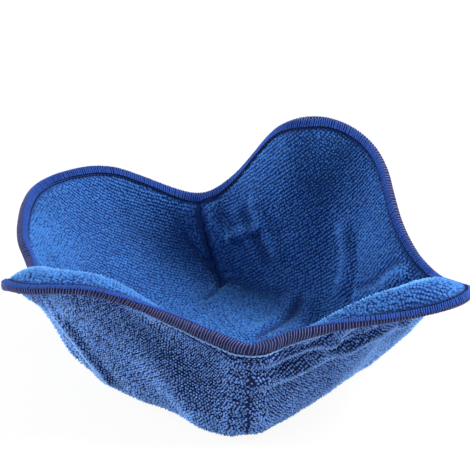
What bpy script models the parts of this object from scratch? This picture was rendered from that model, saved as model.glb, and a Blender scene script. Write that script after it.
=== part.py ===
"""Microwave bowl cozy: a padded cloth square, darted at the middle of each side into a bowl with four lobes.

Metres, +Z up. The origin is on the floor under the middle of the base. The front dart points along -Y.
The wall is three layers, a terry cover outside, a wadding sheet and a terry lining inside. Their shared
middle surface runs from the middle of the base, over a soft fold, up the wall and out to the rim.
"""

import math
from collections import namedtuple

import bmesh
import bpy
import numpy as np

# Base
BASE_HALF_DIAGONAL = 0.069  # from the middle of the base to the tip of a dart
BASE_ROUNDNESS = 1.22  # 1 is a sharp square standing on its corner, 2 is a circle
FOLD_RADIUS = 0.0090  # how far inside the base's edge the cloth starts to turn up
CORNER_FOLD_RADIUS = 0.0060  # the same at a dart's tip

# Layers, from outside to inside
COVER_THICKNESS = 0.0020
WADDING_THICKNESS = 0.0016
LINING_THICKNESS = 0.0020
LAYER_GAP = 0.0003
SEAM_SQUEEZE = 0.55  # share of a layer's thickness that is left under a dart's stitches
SEAM_WIDTH = 0.0070  # from a dart's stitches to where the layers have their full thickness
RIM_SQUEEZE = 0.42  # share of a layer's thickness that is left at the bound edge

# Edge binding and threads
BAND_WIDTH = 0.0036  # how far the overlock thread reaches down each side of the edge
BAND_THICKNESS = 0.0004
RIM_ROOM = 0.0003  # extra room between the cloth's cut edge and the thread over it
NEEDLE_THREAD_RADIUS = 0.00035
NEEDLE_LINE_CLEARANCE = 0.0005
DART_THREAD_RADIUS = 0.00035
DART_THREAD_START = 0.0080  # below the rim
DART_THREAD_END = 0.0080  # over the floor

# Folds that lie along the rim, as depths below it
CREASE_DEPTH = 0.0110
RIDGE_DEPTH = 0.0220

# How finely the layers are divided
WALL_ROWS = 6
RING_COUNT = 2  # on the base, between where the cloth turns up and the middle
STEPS_FROM_SEAM = (
    *(0.0, 0.02, 0.06, 0.12, 0.18, 0.25, 0.32, 0.39),
    *(0.47, 0.55, 0.63, 0.71, 0.79, 0.87, 0.94, 0.98),
)
CURVE_SAMPLES = 60
BRIM_AT_DART = 0.35  # share of a dart's height over which the cloth keeps its slope at the rim

# A point that the rim passes: degrees round from +X, how far it stands out past the base, and its height
Station = namedtuple("Station", "azimuth lean height")
# A dart: its station on the rim, how steeply it rises there in degrees, and on the base its tip's azimuth,
# how much further out it is than the half diagonal, and how far the cloth bulges past it
Dart = namedtuple("Dart", "rim flare azimuth reach bulge")
# A lobe, from its dart to the next: its stations, how steeply its tip rises, how long its brim is and how far
# its wall bulges past the base
Lobe = namedtuple("Lobe", "dart stations tip_flare brim bulge")
# A soft fold of one lobe: where its middle is between the darts and below the rim, its reach each way, its rise
Fold = namedtuple("Fold", "lobe across across_reach depth depth_reach rise")

LOBES = {
    "front_right": Lobe(
        dart=Dart(Station(268, 0.013, 0.053), flare=66, azimuth=267, reach=0.003, bulge=0.002),
        stations=(
            Station(277, 0.013, 0.054),
            Station(290, 0.026, 0.060),
            Station(304, 0.048, 0.0655),
            Station(316, 0.062, 0.0680),
            Station(325, 0.059, 0.0645),
            Station(340, 0.040, 0.0520),
        ),
        tip_flare=-42,
        brim=0.046,
        bulge=0.010,
    ),
    "back_right": Lobe(
        dart=Dart(Station(353, 0.025, 0.046), flare=55, azimuth=360, reach=-0.002, bulge=0.001),
        stations=(
            Station(0, 0.014, 0.0515),
            Station(12, 0.0148, 0.067),
            Station(26, 0.020, 0.087),
            Station(40, 0.0125, 0.099),
            Station(50, 0.003, 0.1005),
            Station(63, 0.002, 0.0930),
            Station(75, 0.005, 0.0745),
            Station(86, 0.007, 0.0565),
        ),
        tip_flare=82,
        brim=0.030,
        bulge=0.003,
    ),
    "back_left": Lobe(
        dart=Dart(Station(96.5, 0.012, 0.0485), flare=70, azimuth=450, reach=-0.002, bulge=0.002),
        stations=(
            Station(110, 0.030, 0.053),
            Station(122, 0.044, 0.061),
            Station(136, 0.050, 0.065),
            Station(148, 0.0505, 0.065),
            Station(160, 0.0425, 0.063),
            Station(172, 0.0325, 0.058),
        ),
        tip_flare=48,
        brim=0.026,
        bulge=0.006,
    ),
    "front_left": Lobe(
        dart=Dart(Station(181, 0.024, 0.054), flare=58, azimuth=546, reach=0.001, bulge=-0.004),
        stations=(
            Station(192, 0.040, 0.0580),
            Station(204, 0.057, 0.0710),
            Station(214, 0.060, 0.0770),
            Station(224, 0.050, 0.0800),
            Station(238, 0.030, 0.0690),
            Station(255, 0.013, 0.0555),
        ),
        tip_flare=-18,
        brim=0.048,
        bulge=0.006,
    ),
}

FOLDS = (
    Fold("front_right", across=0.34, across_reach=0.30, depth=CREASE_DEPTH, depth_reach=0.0060, rise=-0.0030),
    Fold("front_right", across=0.36, across_reach=0.32, depth=RIDGE_DEPTH, depth_reach=0.0090, rise=0.0040),
    Fold("front_left", across=0.27, across_reach=0.25, depth=0.017, depth_reach=0.017, rise=-0.0082),
    Fold("front_left", across=0.68, across_reach=0.32, depth=0.034, depth_reach=0.032, rise=0.0055),
    Fold("front_left", across=0.62, across_reach=0.25, depth=0.040, depth_reach=0.030, rise=0.0030),
    Fold("back_left", across=0.92, across_reach=0.08, depth=0.045, depth_reach=0.032, rise=0.0045),
    Fold("back_left", across=0.45, across_reach=0.30, depth=0.030, depth_reach=0.030, rise=0.0030),
    Fold("back_right", across=0.50, across_reach=0.28, depth=0.055, depth_reach=0.040, rise=0.0030),
)

COLOURS = {
    "outer_cover": (0.045, 0.105, 0.335, 1.0),
    "wadding": (0.72, 0.72, 0.70, 1.0),
    "inner_lining": (0.035, 0.135, 0.430, 1.0),
    "overlock_band": (0.110, 0.105, 0.330, 1.0),
    "needle_line": (0.300, 0.380, 0.550, 1.0),
    "dart_thread": (0.020, 0.030, 0.110, 1.0),
}
CLOTH_ROUGHNESS = 0.95
THREAD_ROUGHNESS = 0.60

STACK = WADDING_THICKNESS / 2 + LAYER_GAP  # from the middle surface to the nearer face of the cloth
FLOOR_HEIGHT = STACK + COVER_THICKNESS  # of the middle surface over the floor
NEEDLE_DEPTH = BAND_WIDTH + NEEDLE_LINE_CLEARANCE + 2 * NEEDLE_THREAD_RADIUS


def clear_scene():
    for old in list(bpy.data.objects):
        bpy.data.objects.remove(old, do_unlink=True)


def finish(name, rgba, roughness):
    """A plain Principled material."""
    material = bpy.data.materials.new(name)
    material.use_nodes = True
    shader = material.node_tree.nodes["Principled BSDF"]
    shader.inputs["Base Color"].default_value = rgba
    shader.inputs["Roughness"].default_value = roughness
    shader.inputs["Metallic"].default_value = 0.0
    return material


def unit(vectors):
    return vectors / np.maximum(np.linalg.norm(vectors, axis=-1, keepdims=True), 1e-12)


def base_radius(azimuth):
    """How far an even base's edge is from its middle: a rounded square whose corners are the darts' tips."""
    c, s = np.abs(np.cos(azimuth)), np.abs(np.sin(azimuth))
    return BASE_HALF_DIAGONAL / (c**BASE_ROUNDNESS + s**BASE_ROUNDNESS) ** (1 / BASE_ROUNDNESS)


def station_point(station):
    azimuth = math.radians(station.azimuth)
    reach = float(base_radius(azimuth)) + station.lean
    return np.array([reach * math.cos(azimuth), reach * math.sin(azimuth), station.height])


def closed_spline(points, samples):
    """A smooth closed curve through the points, with this many samples on each stretch between two of them."""
    count = len(points)
    following = np.roll(points, -1, axis=0)
    steps = np.sqrt(np.linalg.norm(following - points, axis=1))
    before = np.roll(steps, 1)
    matrix = np.zeros((count, count))
    right = np.zeros((count, 3))
    for i in range(count):
        matrix[i, i - 1] += 1 / before[i]
        matrix[i, i] += 2 / before[i] + 2 / steps[i]
        matrix[i, (i + 1) % count] += 1 / steps[i]
        right[i] = 3 * ((points[i] - points[i - 1]) / before[i] ** 2 + (following[i] - points[i]) / steps[i] ** 2)
    slopes = np.linalg.solve(matrix, right)
    u = np.arange(samples)[:, None] / samples
    curve = []
    for i in range(count):
        a, b = slopes[i] * steps[i], slopes[(i + 1) % count] * steps[i]
        stretch = (
            (2 * u**3 - 3 * u**2 + 1) * points[i]
            + (u**3 - 2 * u**2 + u) * a
            + (3 * u**2 - 2 * u**3) * following[i]
            + (u**3 - u**2) * b
        )
        curve.append(stretch)
    return np.concatenate(curve)


def at_shares(curve, shares):
    """Points of an open curve at these shares of its length."""
    lengths = np.concatenate([[0], np.cumsum(np.linalg.norm(np.diff(curve, axis=0), axis=1))])
    wanted = np.asarray(shares) * lengths[-1]
    return np.stack([np.interp(wanted, lengths, curve[:, axis]) for axis in range(3)], axis=1)


def rim_columns():
    """For each column of the cloth: its lobe, its share of the way between the darts, and its point on the rim."""
    points, starts = [], []
    for lobe in LOBES.values():
        starts.append(len(points) * CURVE_SAMPLES)
        points += [station_point(station) for station in (lobe.dart.rim, *lobe.stations)]
    curve = closed_spline(np.array(points), CURVE_SAMPLES)
    curve = np.concatenate([curve, curve[:1]])
    ends = starts[1:] + [len(curve) - 1]
    names, shares, rim = [], [], []
    for name, start, end in zip(LOBES, starts, ends):
        names += [name] * len(STEPS_FROM_SEAM)
        shares += STEPS_FROM_SEAM
        rim.append(at_shares(curve[start : end + 1], STEPS_FROM_SEAM))
    return names, np.array(shares), np.concatenate(rim)


def dart_tip(dart):
    azimuth = math.radians(dart.azimuth)
    return (BASE_HALF_DIAGONAL + dart.reach) * np.array([math.cos(azimuth), math.sin(azimuth), 0])


def between(dart, following, middle, share):
    """A value that is one dart's, then the lobe's own in the middle, then the next dart's."""
    at_dart = dart + (following - dart) * share
    return at_dart + (middle - at_dart) * math.sin(math.pi * share) ** 2


def middle_surface():
    """The shares of its columns between the darts, the lobe of each, and its points from the rim to the base."""
    names, shares, rim = rim_columns()
    along = unit(np.roll(rim, -1, axis=0) - np.roll(rim, 1, axis=0))
    across = unit(np.cross(along, [0, 0, 1.0]))
    lean = unit(across + unit(rim * [1, 1, 0]))
    order = list(LOBES)
    columns = []
    for name, share, tip, outward in zip(names, shares, rim, lean):
        lobe, following = LOBES[name], LOBES[order[(order.index(name) + 1) % len(order)]]
        dart, other = lobe.dart, following.dart
        weights = np.array([1 - share, share])
        weights /= (weights**BASE_ROUNDNESS).sum() ** (1 / BASE_ROUNDNESS)
        edge = weights[0] * dart_tip(dart) + weights[1] * dart_tip(other)
        away = unit(edge)
        edge = edge + np.array([0, 0, FLOOR_HEIGHT])
        turn = between(CORNER_FOLD_RADIUS, CORNER_FOLD_RADIUS, FOLD_RADIUS, share)
        bulge = between(dart.bulge, other.bulge, lobe.bulge, share)
        flare = math.radians(between(dart.flare, other.flare, lobe.tip_flare, share))
        straight = BRIM_AT_DART * np.linalg.norm(tip - edge)
        brim = between(straight, straight, lobe.brim, share)
        direction = outward * math.cos(flare) + np.array([0, 0, math.sin(flare)])
        columns.append(wall_rows(edge - away * turn, edge + away * (turn + bulge), tip - direction * brim, tip))
    walls = np.array(columns)
    inner = walls[:, -1]
    rings = [inner * [share, share, 1] for share in np.arange(RING_COUNT, 0, -1) / (RING_COUNT + 1)]
    surface = np.concatenate([walls, np.stack(rings, axis=1)], axis=1)
    return names, shares, surface


def wall_rows(start, pull, brim_start, tip):
    """One column of the wall, from the rim down to the base, as rows at set depths below the rim and then evenly."""
    u = np.linspace(1, 0, CURVE_SAMPLES)[:, None]
    curve = (1 - u) ** 3 * start + 3 * (1 - u) ** 2 * u * pull + 3 * (1 - u) * u**2 * brim_start + u**3 * tip
    length = np.linalg.norm(np.diff(curve, axis=0), axis=1).sum()
    named = [0, BAND_WIDTH, NEEDLE_DEPTH, CREASE_DEPTH, RIDGE_DEPTH]
    rest = np.linspace(RIDGE_DEPTH, length, WALL_ROWS + 1)[1:]
    return at_shares(curve, np.concatenate([named, rest]) / length)


def depth_below_rim(surface):
    """How far down the cloth each point lies from the rim."""
    steps = np.linalg.norm(np.diff(surface, axis=1), axis=2)
    return np.concatenate([np.zeros((len(surface), 1)), np.cumsum(steps, axis=1)], axis=1)


def inward_normals(surface, middle):
    """Unit normals that point into the bowl, as the mean of the faces that meet at each point."""
    pole = np.repeat(middle[None, None], len(surface), axis=0)
    full = np.concatenate([surface, pole], axis=1)
    following = np.roll(full, -1, axis=0)
    faces = unit(np.cross(full[:, :-1] - following[:, 1:], following[:, :-1] - full[:, 1:]))
    around = faces + np.roll(faces, 1, axis=0)
    return unit(np.concatenate([around[:, :1], around[:, 1:] + around[:, :-1]], axis=1))


def bump(distance, reach):
    """A smooth hump that is 1 at no distance and 0 from the reach on."""
    t = np.clip(np.abs(distance) / reach, 0, 1)
    return (1 - t * t) ** 2


def folded(names, shares, surface, middle):
    """The middle surface with each soft fold pushed out or in."""
    depth = depth_below_rim(surface)
    outward = -inward_normals(surface, middle)
    push = np.zeros_like(depth)
    for fold in FOLDS:
        own = np.array([name == fold.lobe for name in names])
        across = bump(shares - fold.across, fold.across_reach) * own
        push += fold.rise * across[:, None] * bump(depth - fold.depth, fold.depth_reach)
    pushed = surface + outward * push[:, :, None]
    pushed[:, :, 2] = np.maximum(pushed[:, :, 2], FLOOR_HEIGHT)
    return pushed


def squeeze(shares, surface):
    """The share of its thickness that a layer keeps at each point: less at a dart's stitches and at the rim."""
    depth = depth_below_rim(surface)
    to_rim = np.clip(depth / (2 * BAND_WIDTH), 0, 1)
    seam = surface[shares == 0]
    lobe = np.repeat(np.arange(len(seam)), len(STEPS_FROM_SEAM))
    nearest = np.minimum(
        np.linalg.norm(surface - seam[lobe], axis=2),
        np.linalg.norm(surface - seam[(lobe + 1) % len(seam)], axis=2),
    )
    to_seam = np.clip(nearest / SEAM_WIDTH, 0, 1)
    on_wall = np.ones(surface.shape[1])
    on_wall[-RING_COUNT:] = 0
    at_seam = 1 - (1 - SEAM_SQUEEZE) * bump(to_seam, 1) * on_wall
    return at_seam * (RIM_SQUEEZE + (1 - RIM_SQUEEZE) * to_rim)


class Cloth:
    """The middle surface with its normals and thicknesses, from which each layer takes its two faces."""

    def __init__(self):
        names, shares, surface = middle_surface()
        self.middle = np.array([0, 0, FLOOR_HEIGHT])
        self.surface = folded(names, shares, surface, self.middle)
        self.normals = inward_normals(self.surface, self.middle)
        self.kept = squeeze(shares, self.surface)
        self.shares = shares

    def offsets(self, layer):
        """How far the outer and the inner face of a layer lie from the middle surface."""
        half = WADDING_THICKNESS / 2 * self.kept
        near = half + LAYER_GAP
        if layer == "outer_cover":
            return -near - COVER_THICKNESS * self.kept, -near
        if layer == "inner_lining":
            return near, near + LINING_THICKNESS * self.kept
        return -half, half

    def face(self, offset):
        return self.surface + self.normals * offset[:, :, None]

    def pole(self, offset):
        return self.middle + np.array([0, 0, offset])


def new_object(name, mesh, collection, material):
    obj = bpy.data.objects.new(name, mesh)
    collection.objects.link(obj)
    mesh.materials.append(material)
    return obj


def skin(bm, points, pole, faces_in):
    """Adds one face of a layer to a bmesh, with its pole, and returns the vertices of its rim."""
    columns, rows = points.shape[:2]
    verts = [[bm.verts.new(points[j, i]) for i in range(rows)] for j in range(columns)]
    centre = bm.verts.new(pole)
    for j in range(columns):
        own, following = verts[j], verts[(j + 1) % columns]
        triangles = [(own[-1], centre, following[-1])]
        for i in range(rows - 1):
            triangles.append((own[i], own[i + 1], following[i + 1]))
            triangles.append((own[i], following[i + 1], following[i]))
        for triangle in triangles:
            bm.faces.new(triangle if not faces_in else triangle[::-1])
    return [column[0] for column in verts]


def add_layer(name, cloth, collection, material):
    """A closed layer of cloth: an outer face, an inner face, and the cut edge between them at the rim."""
    low, high = cloth.offsets(name)
    bm = bmesh.new()
    outer = skin(bm, cloth.face(low), cloth.pole(float(low[0, -1])), faces_in=False)
    inner = skin(bm, cloth.face(high), cloth.pole(float(high[0, -1])), faces_in=True)
    for j in range(len(outer)):
        k = (j + 1) % len(outer)
        bm.faces.new((outer[j], outer[k], inner[k], inner[j]))
    bmesh.ops.recalc_face_normals(bm, faces=bm.faces)
    mesh = bpy.data.meshes.new(name)
    bm.to_mesh(mesh)
    bm.free()
    mesh.shade_smooth()
    return new_object(name, mesh, collection, material)


def add_band(name, cloth, collection, material):
    """The overlock thread that wraps the edge, as one ring whose section is a rounded U upside down."""
    low, _ = cloth.offsets("outer_cover")
    _, high = cloth.offsets("inner_lining")
    rim, lip = 0, 1
    up = unit(cloth.surface[:, rim] - cloth.surface[:, lip])
    clear, wall = LAYER_GAP, LAYER_GAP + BAND_THICKNESS
    under = LAYER_GAP + RIM_ROOM
    shoulder, crown = under, under + BAND_THICKNESS
    # The row of the cloth, the distance from its middle surface, and the lift over the rim
    section = (
        (lip, low[:, lip] - wall, 0),
        (rim, low[:, rim] - wall, shoulder),
        (rim, low[:, rim] / 2, crown),
        (rim, high[:, rim] / 2, crown),
        (rim, high[:, rim] + wall, shoulder),
        (lip, high[:, lip] + wall, 0),
        (lip, high[:, lip] + clear, 0),
        (rim, high[:, rim] + clear, under),
        (rim, low[:, rim] - clear, under),
        (lip, low[:, lip] - clear, 0),
    )
    bm = bmesh.new()
    rings = []
    for row, offset, lift in section:
        points = cloth.surface[:, row] + cloth.normals[:, row] * offset[:, None] + up * lift
        rings.append([bm.verts.new(point) for point in points])
    rows = [row for row, _, _ in section]
    for i, ring in enumerate(rings):
        following = rings[(i + 1) % len(rings)]
        climbs = rows[i] > rows[(i + 1) % len(rings)]
        for j in range(len(ring)):
            k = (j + 1) % len(ring)
            # The diagonals match the cloth's, so that the gap to it stays even
            if climbs:
                bm.faces.new((ring[j], ring[k], following[j]))
                bm.faces.new((ring[k], following[k], following[j]))
            else:
                bm.faces.new((ring[j], ring[k], following[k]))
                bm.faces.new((ring[j], following[k], following[j]))
    bmesh.ops.recalc_face_normals(bm, faces=bm.faces)
    mesh = bpy.data.meshes.new(name)
    bm.to_mesh(mesh)
    bm.free()
    mesh.shade_smooth()
    return new_object(name, mesh, collection, material)


def add_thread(name, points, radius, sides, closed, collection, material):
    """A thread as a bevelled curve through the points."""
    curve = bpy.data.curves.new(name, "CURVE")
    curve.dimensions = "3D"
    curve.bevel_depth = radius
    curve.bevel_resolution = (sides - 4) // 2
    curve.use_fill_caps = not closed
    spline = curve.splines.new("POLY")
    spline.points.add(len(points) - 1)
    for place, point in zip(spline.points, points):
        place.co = (*point, 1.0)
    spline.use_cyclic_u = closed
    curve.materials.append(material)
    obj = bpy.data.objects.new(name, curve)
    collection.objects.link(obj)
    return obj


def add_needle_line(cloth, collection, material):
    """The needle thread that shows outside, just under the band."""
    low, _ = cloth.offsets("outer_cover")
    row = 2
    lift = low[:, row] - LAYER_GAP - NEEDLE_THREAD_RADIUS
    points = cloth.surface[:, row] + cloth.normals[:, row] * lift[:, None]
    return add_thread("needle_line", points, NEEDLE_THREAD_RADIUS, 4, True, collection, material)


def add_dart_threads(cloth, collection, material):
    """The stitches down each dart, one thread in the outer groove and one in the inner."""
    low, _ = cloth.offsets("outer_cover")
    _, high = cloth.offsets("inner_lining")
    darts = np.flatnonzero(cloth.shares == 0)
    depth = depth_below_rim(cloth.surface)
    lift = LAYER_GAP + DART_THREAD_RADIUS
    for column, place in zip(darts, ("front", "right", "back", "left")):
        rows = depth[column, (cloth.surface[column, :, 2] > DART_THREAD_END)]
        at = np.concatenate([[DART_THREAD_START], rows[rows > DART_THREAD_START]])
        for side, offset in (("cover", low[column] - lift), ("lining", high[column] + lift)):
            path = cloth.surface[column] + cloth.normals[column] * offset[:, None]
            points = np.stack([np.interp(at, depth[column], path[:, axis]) for axis in range(3)], axis=1)
            add_thread(f"{side}_dart_thread_{place}", points, DART_THREAD_RADIUS, 6, False, collection, material)


def main():
    clear_scene()
    collection = bpy.data.collections.new("microwave_bowl_cozy")
    bpy.context.scene.collection.children.link(collection)
    cloth = Cloth()
    for name in ("outer_cover", "wadding", "inner_lining"):
        add_layer(name, cloth, collection, finish(name, COLOURS[name], CLOTH_ROUGHNESS))
    band = finish("overlock_band", COLOURS["overlock_band"], THREAD_ROUGHNESS)
    add_band("overlock_band", cloth, collection, band)
    needle = finish("needle_line", COLOURS["needle_line"], THREAD_ROUGHNESS)
    add_needle_line(cloth, collection, needle)
    dart = finish("dart_thread", COLOURS["dart_thread"], THREAD_ROUGHNESS)
    add_dart_threads(cloth, collection, dart)


main()
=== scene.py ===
"""Looks of a padded terry bowl cozy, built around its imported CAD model.

Metres, +Z up, the front dart towards -Y. The cloth's form is worked out once, in ClothForm, finer than in the
CAD model but from the same sizes, and the layers, the pile, the edge and the stitches all take their places
from it. Each point of the cloth also knows where it lay on the flat square that the cozy was sewn from, so
that the loops run in rows along the grain, as the real ones do.
"""

import logging
import math
from dataclasses import dataclass, field
from enum import Enum

import bmesh
import bpy
import numpy as np
from mathutils import Matrix, Vector, noise
from mathutils.bvhtree import BVHTree

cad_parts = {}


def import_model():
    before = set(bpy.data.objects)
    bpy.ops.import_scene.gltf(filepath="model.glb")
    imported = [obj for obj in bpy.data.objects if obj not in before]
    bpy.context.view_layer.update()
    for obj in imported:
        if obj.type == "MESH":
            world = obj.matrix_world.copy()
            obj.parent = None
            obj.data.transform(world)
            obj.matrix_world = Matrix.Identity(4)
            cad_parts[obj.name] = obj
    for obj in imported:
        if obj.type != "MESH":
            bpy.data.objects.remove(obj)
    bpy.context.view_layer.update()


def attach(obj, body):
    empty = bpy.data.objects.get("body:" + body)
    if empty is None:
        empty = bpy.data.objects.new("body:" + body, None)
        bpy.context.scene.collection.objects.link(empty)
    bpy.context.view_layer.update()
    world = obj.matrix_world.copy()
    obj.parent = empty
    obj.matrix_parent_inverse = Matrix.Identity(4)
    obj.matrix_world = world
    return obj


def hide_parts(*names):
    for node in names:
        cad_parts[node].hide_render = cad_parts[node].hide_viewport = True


log = logging.getLogger("bowl_cozy")

MM = 0.001
PHOTO_SIDE = 470  # pixels
GROUND_SHARE = 0.50  # of a cloth's thickness; the rest is its loops
UV_SCALE = 4.0  # how much of the UV map a metre of flat cloth takes up
WADDING_FACE = 0.5  # how far out it lies, of the half thickness, to stay clear of the cloths
WADDING_FILL = 0.9  # of the room that the squeezed rim leaves it
THREAD_RESOLUTION = 1  # gives a thread six sides
WHITE = (1, 1, 1, 1)


class Side(Enum):
    """The two cloths of the cozy."""

    OUTER = "outer"
    INNER = "inner"

    @property
    def inward(self) -> int:
        """1 for the cloth that faces into the bowl, and -1 for the other."""
        return 1 if self is Side.INNER else -1


@dataclass(frozen=True)
class Station:
    """A point that the rim passes: degrees round from +X, how far out past the base, and its height."""

    azimuth: float
    lean: float
    height: float


@dataclass(frozen=True)
class Dart:
    """A dart: its rim station and slope in degrees, and on the base its tip's azimuth, reach and bulge."""

    rim: Station
    flare: float
    azimuth: float
    reach: float
    bulge: float


@dataclass(frozen=True)
class Lobe:
    """A lobe, from its dart round to the next."""

    name: str
    dart: Dart
    stations: tuple[Station, ...]
    tip_flare: float
    brim: float
    bulge: float


@dataclass(frozen=True)
class Fold:
    """A soft fold: its middle and reach as a share of the way between darts, and as a depth below the rim."""

    lobe: str
    across: float
    across_reach: float
    depth: float
    depth_reach: float
    rise: float


LOBES = (
    Lobe(
        "front_right",
        Dart(Station(268, 0.013, 0.053), 66, 267, 0.003, 0.002),
        (
            Station(277, 0.013, 0.054),
            Station(290, 0.026, 0.060),
            Station(304, 0.048, 0.0655),
            Station(316, 0.062, 0.0680),
            Station(325, 0.059, 0.0645),
            Station(340, 0.040, 0.0520),
        ),
        tip_flare=-42,
        brim=0.046,
        bulge=0.010,
    ),
    Lobe(
        "back_right",
        Dart(Station(353, 0.025, 0.046), 55, 360, -0.002, 0.001),
        (
            Station(0, 0.014, 0.0515),
            Station(12, 0.0148, 0.067),
            Station(26, 0.020, 0.087),
            Station(40, 0.0125, 0.099),
            Station(50, 0.003, 0.1005),
            Station(63, 0.002, 0.0930),
            Station(75, 0.005, 0.0745),
            Station(86, 0.007, 0.0565),
        ),
        tip_flare=82,
        brim=0.030,
        bulge=0.003,
    ),
    Lobe(
        "back_left",
        Dart(Station(96.5, 0.012, 0.0485), 70, 450, -0.002, 0.002),
        (
            Station(110, 0.030, 0.053),
            Station(122, 0.044, 0.061),
            Station(136, 0.050, 0.065),
            Station(148, 0.0505, 0.065),
            Station(160, 0.0425, 0.063),
            Station(172, 0.0325, 0.058),
        ),
        tip_flare=48,
        brim=0.026,
        bulge=0.006,
    ),
    Lobe(
        "front_left",
        Dart(Station(181, 0.024, 0.054), 58, 546, 0.001, -0.004),
        (
            Station(192, 0.040, 0.0580),
            Station(204, 0.057, 0.0710),
            Station(214, 0.060, 0.0770),
            Station(224, 0.050, 0.0800),
            Station(238, 0.030, 0.0690),
            Station(255, 0.013, 0.0555),
        ),
        tip_flare=-18,
        brim=0.048,
        bulge=0.006,
    ),
)

FOLDS = (
    Fold("front_right", 0.34, 0.30, 0.011, 0.0060, -0.0030),
    Fold("front_right", 0.36, 0.32, 0.022, 0.0090, 0.0040),
    Fold("front_left", 0.27, 0.25, 0.017, 0.017, -0.0082),
    Fold("front_left", 0.60, 0.40, 0.042, 0.042, 0.0060),
    Fold("front_left", 0.14, 0.13, 0.040, 0.034, -0.0055),
    Fold("back_left", 0.92, 0.08, 0.045, 0.032, 0.0045),
    Fold("back_left", 0.45, 0.30, 0.030, 0.030, 0.0030),
    Fold("back_right", 0.50, 0.28, 0.055, 0.040, 0.0030),
)


@dataclass(frozen=True)
class Sag:
    """Shallow unevenness of the walls: its waves per metre, its height, and a shift of its noise."""

    scale: float
    height: float
    shift: tuple[float, float, float]


SAGS = (Sag(38.0, 0.0011, (3.1, 0, 0)), Sag(110.0, 0.00035, (0, 7.7, 0)))


@dataclass(frozen=True)
class Crease:
    """A crease of one cloth, through points in mm on the flat square.

    Its reach is to each side, its rise is off the wadding, and its shade is painted shade: how much darker
    its loops are painted, for the shade that falls in the crease.
    """

    points: tuple[tuple[float, float], ...]
    reach: float
    rise: float
    shade: float = 0.0


# The fourth number of a crease is painted shade: how much darker its loops are painted.
CREASES = {
    Side.INNER: (
        Crease(((2, 65), (-4, 56), (-9, 48)), 0.0030, -0.0009, 1.3),
        Crease(((6, 60), (-1, 50), (-6, 43)), 0.0060, 0.0010),
        Crease(((-14, 90), (-9, 82), (-3, 71)), 0.0034, -0.0007, 1.1),
        Crease(((-7, 92), (-4, 82)), 0.0040, 0.0018),
        Crease(((9, 107), (12, 98), (17, 87)), 0.0040, 0.0034),
        Crease(((17, 87), (24, 86), (33, 84)), 0.0036, 0.0026),
        Crease(((25, 97), (26, 80), (26, 68)), 0.0060, 0.0005),
        Crease(((30, 95), (31, 80), (30, 66)), 0.0050, -0.0009, 1.1),
        Crease(((39, 96), (39, 80), (38, 66)), 0.0060, 0.0016),
        Crease(((2, 65), (11, 61), (18, 53), (25, 49), (31, 45)), 0.0050, -0.0008, 0.6),
        Crease(((37, 38), (30, 26), (23, 17), (13, 9)), 0.0050, -0.0009, 1.8),
        Crease(((33, 41), (26, 29), (19, 20), (9, 12)), 0.0065, 0.0013),
        Crease(((41, 35), (34, 23), (27, 14), (17, 6)), 0.0070, 0.0019),
        Crease(((77, 57), (73, 46), (67, 39), (61, 34)), 0.0075, 0.0030),
        Crease(((104, 21), (95, 24), (84, 24), (72, 28)), 0.0034, -0.0008, 1.1),
        Crease(((103, 15), (94, 17), (84, 18), (70, 24)), 0.0055, 0.0028),
    ),
    Side.OUTER: (
        Crease(((0, -101), (23, -94), (36, -90), (52, -76), (66, -72), (88, -47)), 0.0055, 0.0026),
        Crease(((3, -107), (23, -101), (39, -95), (55, -80), (71, -73)), 0.0030, -0.0008, 0.2),
        Crease(((10, -110), (23, -106), (41, -99), (56, -84)), 0.0034, 0.0020),
        Crease(((-104, -62), (-95, -59), (-86, -52), (-75, -44), (-61, -37)), 0.0060, 0.0018),
    ),
}


def lobe_number(name: str) -> int:
    """Which lobe this is, counted from 0."""
    return [lobe.name for lobe in LOBES].index(name)


def unit(vectors: np.ndarray) -> np.ndarray:
    """Each vector at length 1."""
    return vectors / np.maximum(np.linalg.norm(vectors, axis=-1, keepdims=True), 1e-12)


def hump(distance: np.ndarray, reach: float | np.ndarray) -> np.ndarray:
    """A smooth hump that is 1 at no distance and 0 from the reach on."""
    t = np.clip(np.abs(distance) / reach, 0, 1)
    return (1 - t * t) ** 2


def ramp(values: np.ndarray, low: float, high: float) -> np.ndarray:
    """A smooth step from 0 at low to 1 at high."""
    t = np.clip((values - low) / (high - low), 0, 1)
    return t * t * (3 - 2 * t)


def closed_spline(points: np.ndarray, samples: int) -> np.ndarray:
    """A smooth closed curve through points.

    Args:
        points: the points that it passes, one row each.
        samples: how many points the curve gets on each stretch between two of them.

    Returns:
        The curve's points, without the first one again at the end.
    """
    count = len(points)
    following = np.roll(points, -1, axis=0)
    steps = np.sqrt(np.linalg.norm(following - points, axis=1))
    before = np.roll(steps, 1)
    matrix = np.zeros((count, count))
    right = np.zeros((count, 3))
    for i in range(count):
        matrix[i, i - 1] += 1 / before[i]
        matrix[i, i] += 2 / before[i] + 2 / steps[i]
        matrix[i, (i + 1) % count] += 1 / steps[i]
        right[i] = 3 * (
            (points[i] - points[i - 1]) / before[i] ** 2 + (following[i] - points[i]) / steps[i] ** 2
        )
    slopes = np.linalg.solve(matrix, right)
    u = (np.arange(samples) / samples)[:, None]
    curve = []
    for i in range(count):
        j = (i + 1) % count
        curve.append(
            (2 * u**3 - 3 * u**2 + 1) * points[i]
            + (u**3 - 2 * u**2 + u) * slopes[i] * steps[i]
            + (3 * u**2 - 2 * u**3) * points[j]
            + (u**3 - u**2) * slopes[j] * steps[i]
        )
    return np.concatenate(curve)


def lengths_along(curve: np.ndarray) -> np.ndarray:
    """How far along an open curve each of its points lies."""
    steps = np.linalg.norm(np.diff(curve, axis=0), axis=1)
    return np.concatenate([[0], np.cumsum(steps)])


def read_at(wanted: np.ndarray | float, places: np.ndarray, values: np.ndarray) -> np.ndarray:
    """Each column of values, given at these places, read at the wanted ones."""
    return np.stack([np.interp(wanted, places, column) for column in values.T], axis=-1)


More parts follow.
